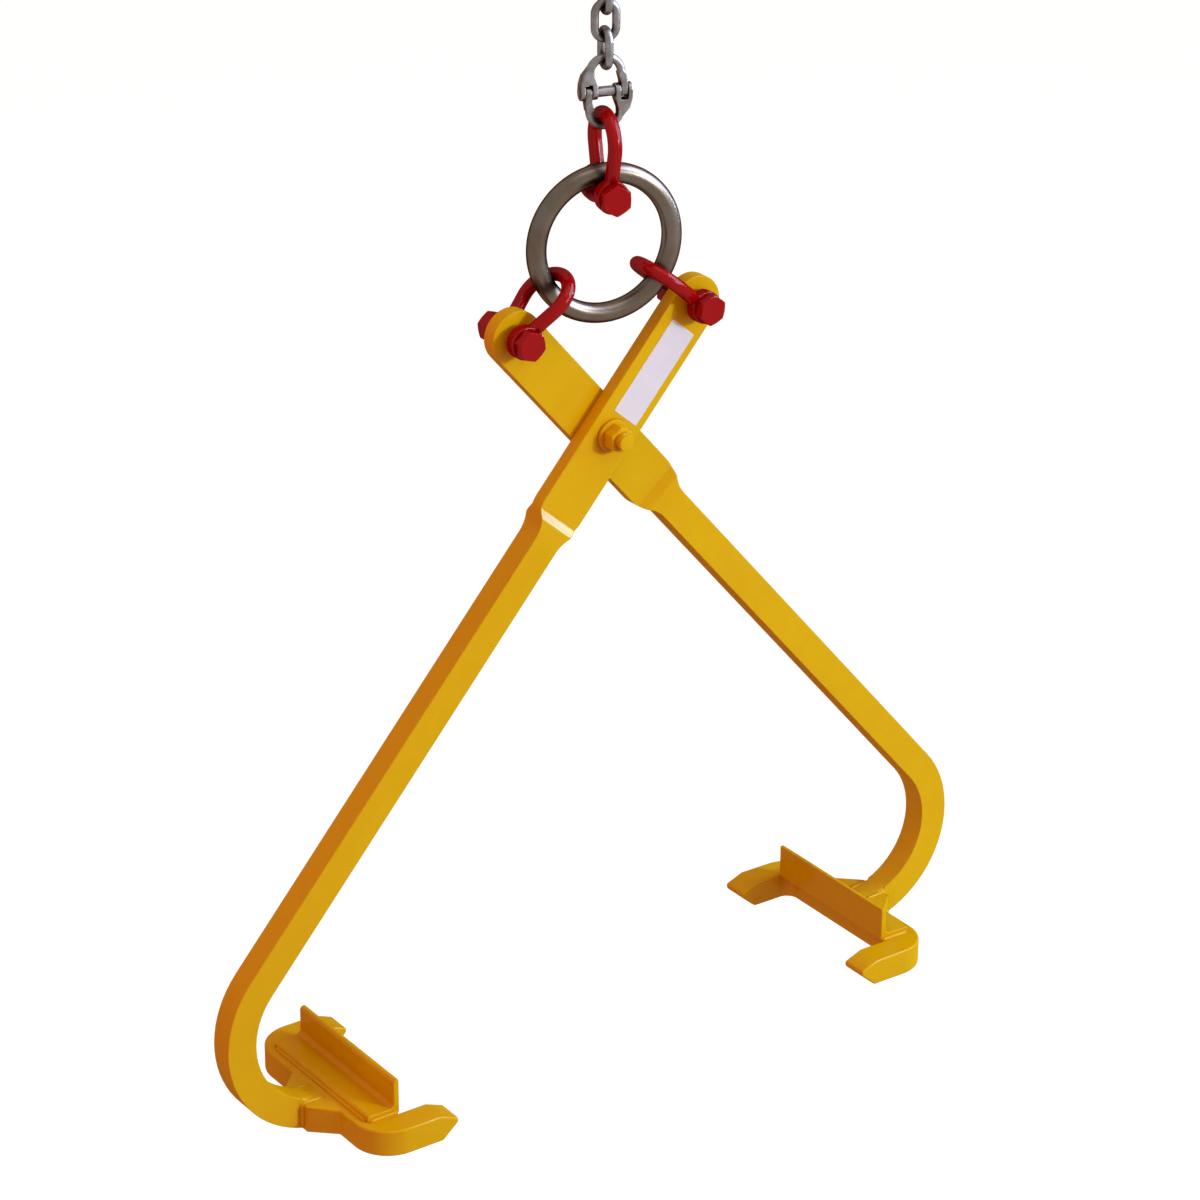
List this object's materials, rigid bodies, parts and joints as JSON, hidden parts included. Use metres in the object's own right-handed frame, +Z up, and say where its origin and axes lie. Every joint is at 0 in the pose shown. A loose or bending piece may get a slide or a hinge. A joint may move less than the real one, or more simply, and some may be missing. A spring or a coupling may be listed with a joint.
{
  "type": "die lifting tongs",
  "caption": "Scissor lifting tongs with forked yokes and angle pads on crossed arms, hung by shackles from a ring, a coupling and a short chain.",
  "frame": {"origin": "inside the crown at the top of the uppermost chain link, where the tongs hang", "axes": "+Z up, X from yoke to yoke, Y along the pivot bolt with the nut on the -Y side"},
  "size_m": [0.9154, 0.2416, 1.1187],
  "materials": {
    "yellow_paint": "gloss enamel",
    "red_paint": "gloss enamel",
    "bright_steel": "bright forged",
    "dark_steel": "dark forged"
  },
  "bodies": {
    "top_link": {"chain_link_top": "dark_steel"},
    "middle_link": {"chain_link_middle": "dark_steel"},
    "bottom_link": {"chain_link_bottom": "dark_steel"},
    "upper_coupling": {"coupling_upper_half": "dark_steel", "coupling_pin": "dark_steel", "coupling_sleeve": "dark_steel"},
    "lower_coupling": {"coupling_lower_half": "dark_steel"},
    "top_shackle": {"top_shackle_bow": "red_paint", "top_shackle_bolt": "red_paint", "top_shackle_nut": "red_paint"},
    "master_ring": {"ring": "bright_steel"},
    "left_shackle": {"left_shackle_bow": "red_paint", "left_shackle_bolt": "red_paint", "left_shackle_nut": "red_paint"},
    "back_tong": {"back_arm": "yellow_paint", "back_yoke": "yellow_paint", "back_angle": "yellow_paint", "pivot_bolt": "yellow_paint", "pivot_washer": "yellow_paint", "pivot_nut": "yellow_paint"},
    "front_tong": {"front_arm": "yellow_paint", "front_yoke": "yellow_paint", "front_angle": "yellow_paint"},
    "right_shackle": {"right_shackle_bow": "red_paint", "right_shackle_bolt": "red_paint", "right_shackle_nut": "red_paint"}
  },
  "joints": [
    {"name": "middle_link_swing", "type": "hinge", "parent": "top_link", "child": "middle_link", "pos_m": [0, 0, -0.031], "axis": [0.2504, 0.9681, 0], "range_deg": [-25, 25]},
    {"name": "bottom_link_swing", "type": "hinge", "parent": "middle_link", "child": "bottom_link", "pos_m": [0, 0, -0.0577], "axis": [0.9681, -0.2504, 0], "range_deg": [-25, 25]},
    {"name": "coupling_swing", "type": "hinge", "parent": "bottom_link", "child": "upper_coupling", "pos_m": [0, 0, -0.0844], "axis": [0.2504, 0.9681, 0], "range_deg": [-20, 20]},
    {"name": "coupling_fold", "type": "hinge", "parent": "upper_coupling", "child": "lower_coupling", "pos_m": [0, 0, -0.1094], "axis": [0.9681, -0.2504, 0], "range_deg": [-40, 40]},
    {"name": "top_shackle_swing", "type": "hinge", "parent": "lower_coupling", "child": "top_shackle", "pos_m": [0, 0, -0.1428], "axis": [0.9681, -0.2504, 0], "range_deg": [-20, 20]},
    {"name": "ring_swing", "type": "hinge", "parent": "top_shackle", "child": "master_ring", "pos_m": [0, 0, -0.2082], "axis": [0.2504, 0.9681, 0], "range_deg": [-30, 30]},
    {"name": "left_shackle_slide", "type": "hinge", "parent": "master_ring", "child": "left_shackle", "pos_m": [0, 0, -0.2607], "axis": [0, -1, 0], "range_deg": [0, 20.6]},
    {"name": "left_eye_turn", "type": "hinge", "parent": "left_shackle", "child": "back_tong", "pos_m": [-0.10152, 0.00788, -0.33794], "axis": [0, 1, 0], "range_deg": [0, 35.6]},
    {"name": "tongs_close", "type": "hinge", "parent": "back_tong", "child": "front_tong", "pos_m": [-0.0007, 0, -0.45475], "axis": [0, -1, 0], "range_deg": [0, 30]},
    {"name": "right_eye_turn", "type": "hinge", "parent": "front_tong", "child": "right_shackle", "pos_m": [0.10013, -0.00788, -0.33794], "axis": [0, 1, 0], "range_deg": [0, 35.6]}
  ],
  "couplings": [
    {"joint": "left_shackle_slide", "follows": "tongs_close", "ratio": 0.6818},
    {"joint": "left_eye_turn", "follows": "tongs_close", "ratio": 1.1818},
    {"joint": "right_eye_turn", "follows": "tongs_close", "ratio": 1.1818}
  ]
}
